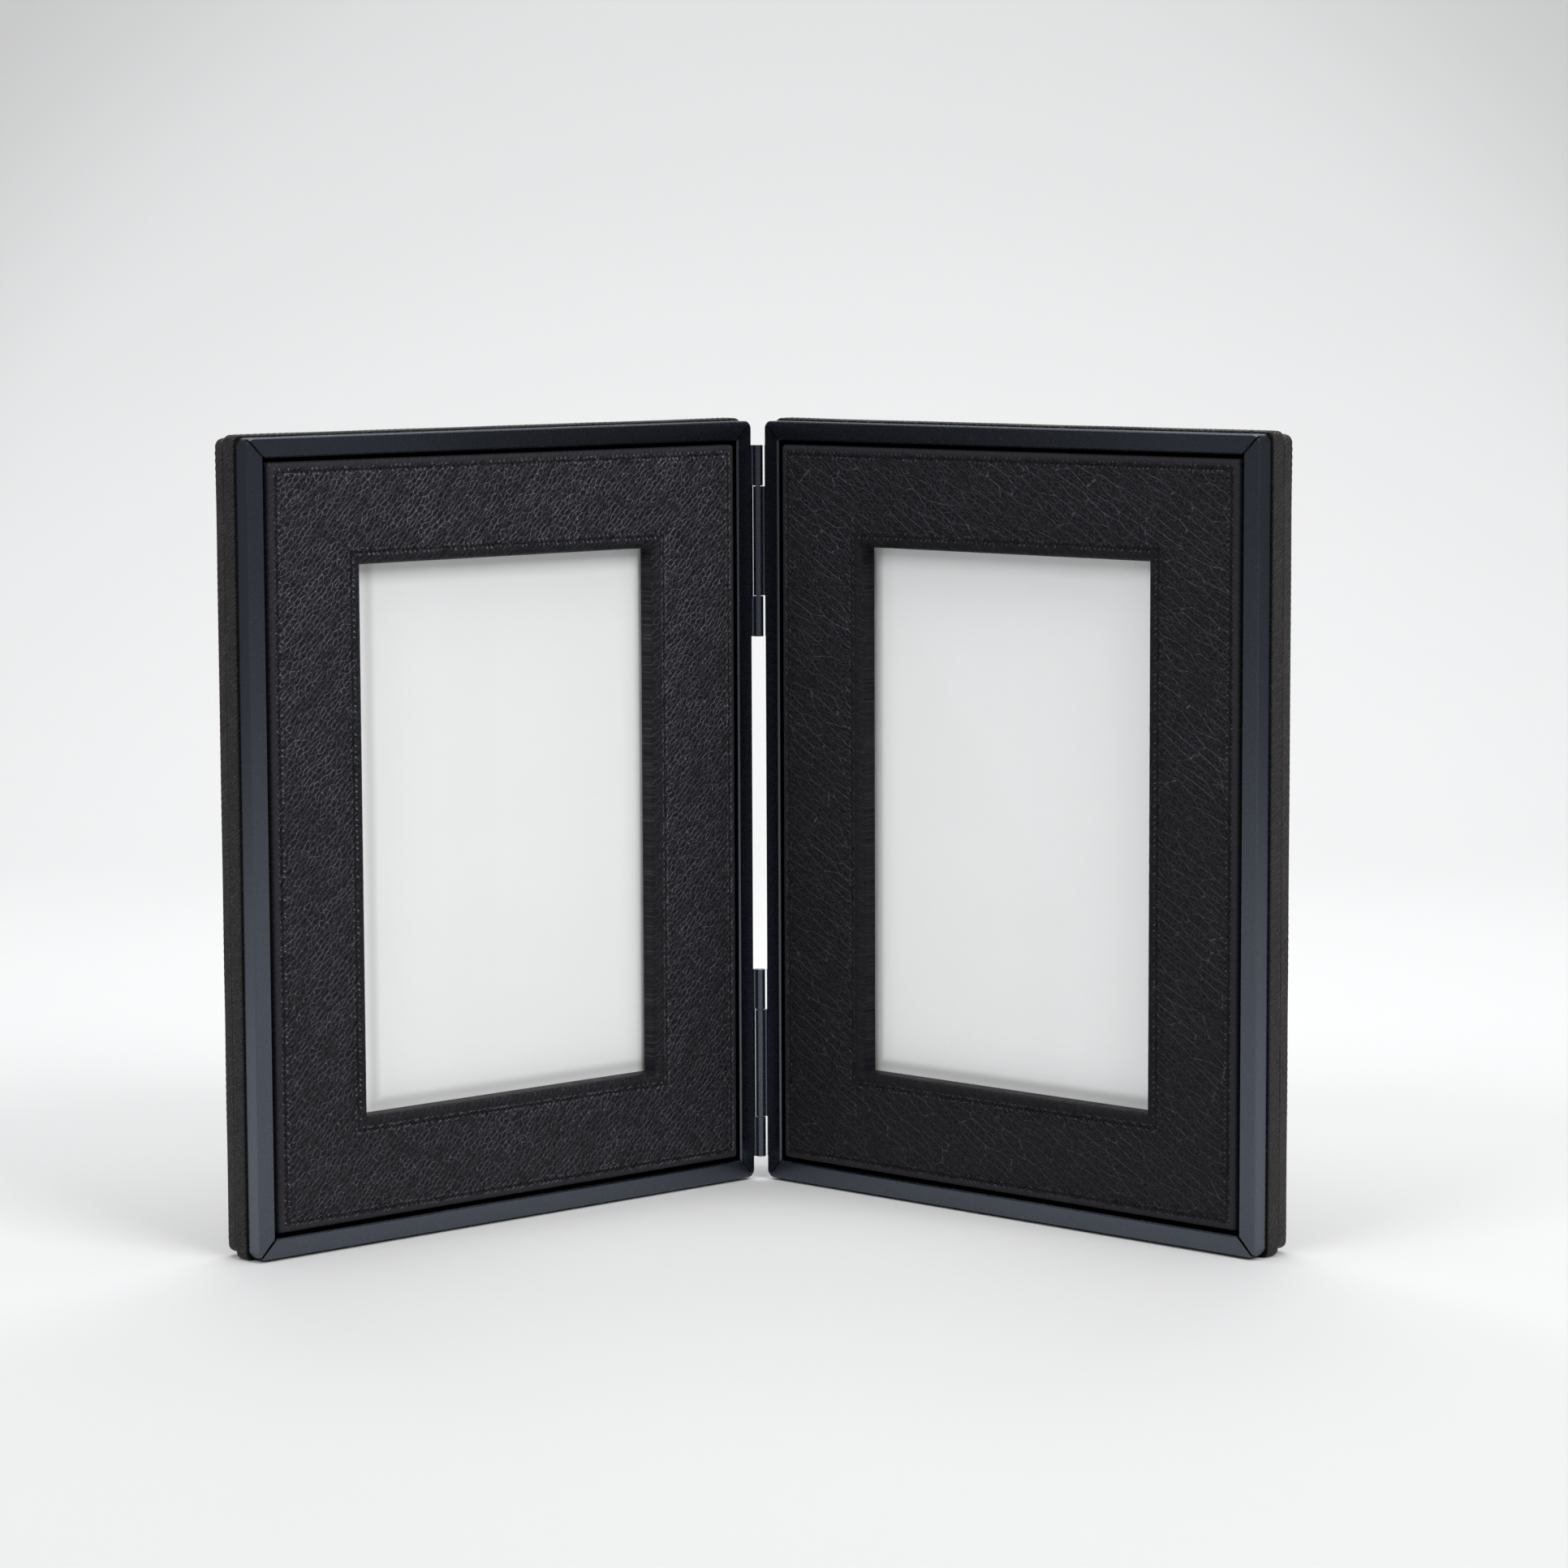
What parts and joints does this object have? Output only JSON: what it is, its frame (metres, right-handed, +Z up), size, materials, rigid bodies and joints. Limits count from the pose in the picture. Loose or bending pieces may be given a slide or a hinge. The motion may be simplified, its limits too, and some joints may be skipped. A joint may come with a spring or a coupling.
{
  "type": "double photo frame",
  "caption": "Folding double photo frame: two upright leather-covered leaves with metal bars, padded stitched mats and glazed windows, joined by barrel hinges.",
  "frame": {"origin": "on the surface that the frame stands on, under the middle of the footprint of the open V", "axes": "+X to the right seen from the front, +Y to the back, where the hinges are, +Z up along the hinge axis"},
  "size_m": [0.3294, 0.1476, 0.2556],
  "materials": {
    "gunmetal": "dark gunmetal, satin",
    "leather": "black, pebbled grain",
    "foam": "soft padding",
    "board": "plain",
    "wood": "raw",
    "glass": "clear",
    "card": "blank, white",
    "steel": "plain"
  },
  "bodies": {
    "left_leaf": {"left_top_bar": "gunmetal", "left_bottom_bar": "gunmetal", "left_outer_bar": "gunmetal", "left_hinge_bar": "gunmetal", "left_bar_screws": "steel", "left_mat_leather": "leather", "left_mat_foam": "foam", "left_mat_board": "board", "left_glass": "glass", "left_card": "card", "left_backing_board": "board", "left_block_core": "wood", "left_block_leather": "leather", "left_block_magnets": "steel", "upper_hinge_left_plate": "gunmetal", "upper_hinge_pin": "steel", "lower_hinge_left_plate": "gunmetal", "lower_hinge_pin": "steel", "left_hinge_screws": "steel"},
    "right_leaf": {"right_top_bar": "gunmetal", "right_bottom_bar": "gunmetal", "right_outer_bar": "gunmetal", "right_hinge_bar": "gunmetal", "right_bar_screws": "steel", "right_mat_leather": "leather", "right_mat_foam": "foam", "right_mat_board": "board", "right_glass": "glass", "right_card": "card", "right_backing_board": "board", "right_block_core": "wood", "right_block_leather": "leather", "right_block_magnets": "steel", "upper_hinge_right_plate": "gunmetal", "lower_hinge_right_plate": "gunmetal", "right_hinge_screws": "steel"},
    "left_back": {"left_back_board": "wood", "left_back_leather": "leather", "left_back_magnets": "steel"},
    "right_back": {"right_back_board": "wood", "right_back_leather": "leather", "right_back_magnets": "steel"}
  },
  "joints": [
    {"name": "fold", "type": "hinge", "parent": "left_leaf", "child": "right_leaf", "pos_m": [0, 0.06185, 0.1278], "axis": [0, 0, 1], "range_deg": [-96.5, 83.5]},
    {"name": "left_back_lift", "type": "slide", "parent": "left_leaf", "child": "left_back", "axis": [-0.6659, 0.7461, 0], "range_m": [0, 0.03]},
    {"name": "right_back_lift", "type": "slide", "parent": "right_leaf", "child": "right_back", "axis": [0.6659, 0.7461, 0], "range_m": [0, 0.03]}
  ]
}
